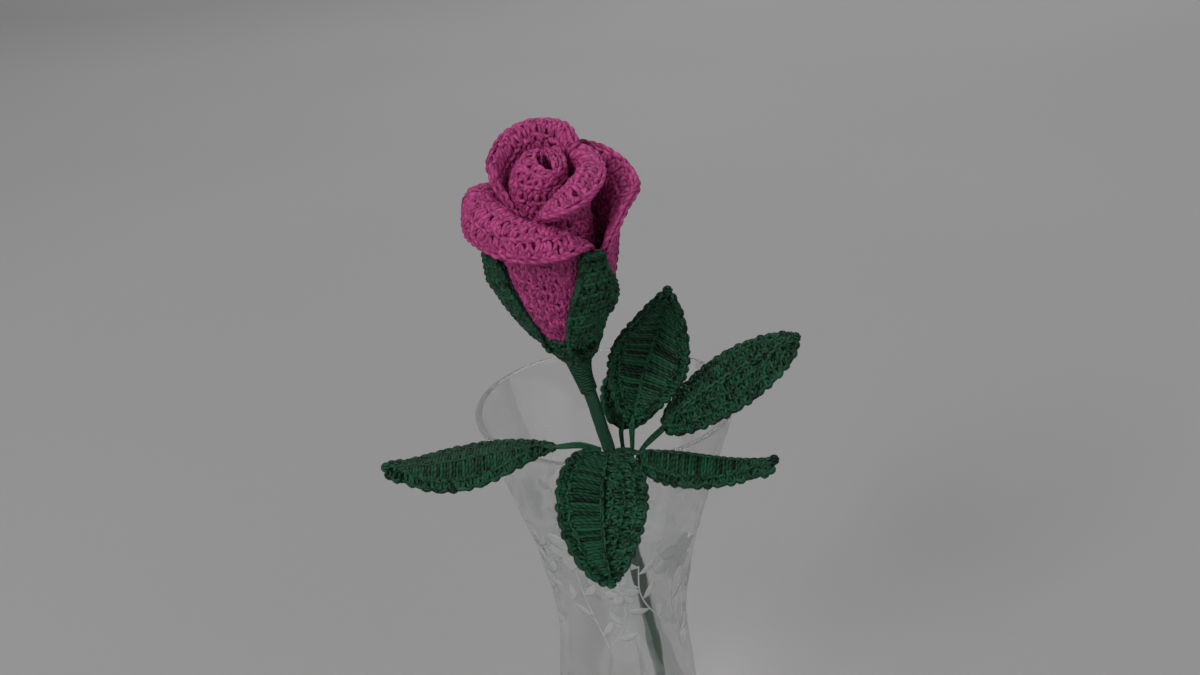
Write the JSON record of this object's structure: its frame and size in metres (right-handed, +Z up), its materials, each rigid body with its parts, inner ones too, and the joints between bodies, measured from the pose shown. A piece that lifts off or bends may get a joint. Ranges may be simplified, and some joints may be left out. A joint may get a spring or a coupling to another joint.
{
  "type": "crocheted rose in a glass vase",
  "caption": "Crocheted yarn rosebud with a green calyx and leaves on a wrapped wire stem, leaning in a clear flared glass vase.",
  "frame": {"origin": "centre of the vase's flat underside", "axes": "+Z up along the vase's axis, -Y towards the front rim that the stem leans on, +X to the viewer's right"},
  "size_m": [0.1524, 0.1426, 0.3263],
  "materials": {
    "glass": "clear, polished, frosted engraving",
    "pink_yarn": "crocheted cotton yarn",
    "green_yarn": "crocheted cotton yarn",
    "wire": "drawn wire"
  },
  "bodies": {
    "root": {"vase": "glass", "stem_wire": "wire", "stem_wrap": "green_yarn", "calyx": "green_yarn", "bud_core": "pink_yarn", "petal_a": "pink_yarn", "petal_b": "pink_yarn", "petal_c": "pink_yarn", "petal_d": "pink_yarn", "leaf_left": "green_yarn", "leaf_left_wire": "wire", "leaf_right": "green_yarn", "leaf_right_wire": "wire", "leaf_front": "green_yarn", "leaf_front_wire": "wire", "leaf_up": "green_yarn", "leaf_up_wire": "wire", "leaf_back": "green_yarn", "leaf_back_wire": "wire", "leaf_ru": "green_yarn", "leaf_ru_wire": "wire"}
  },
  "joints": []
}
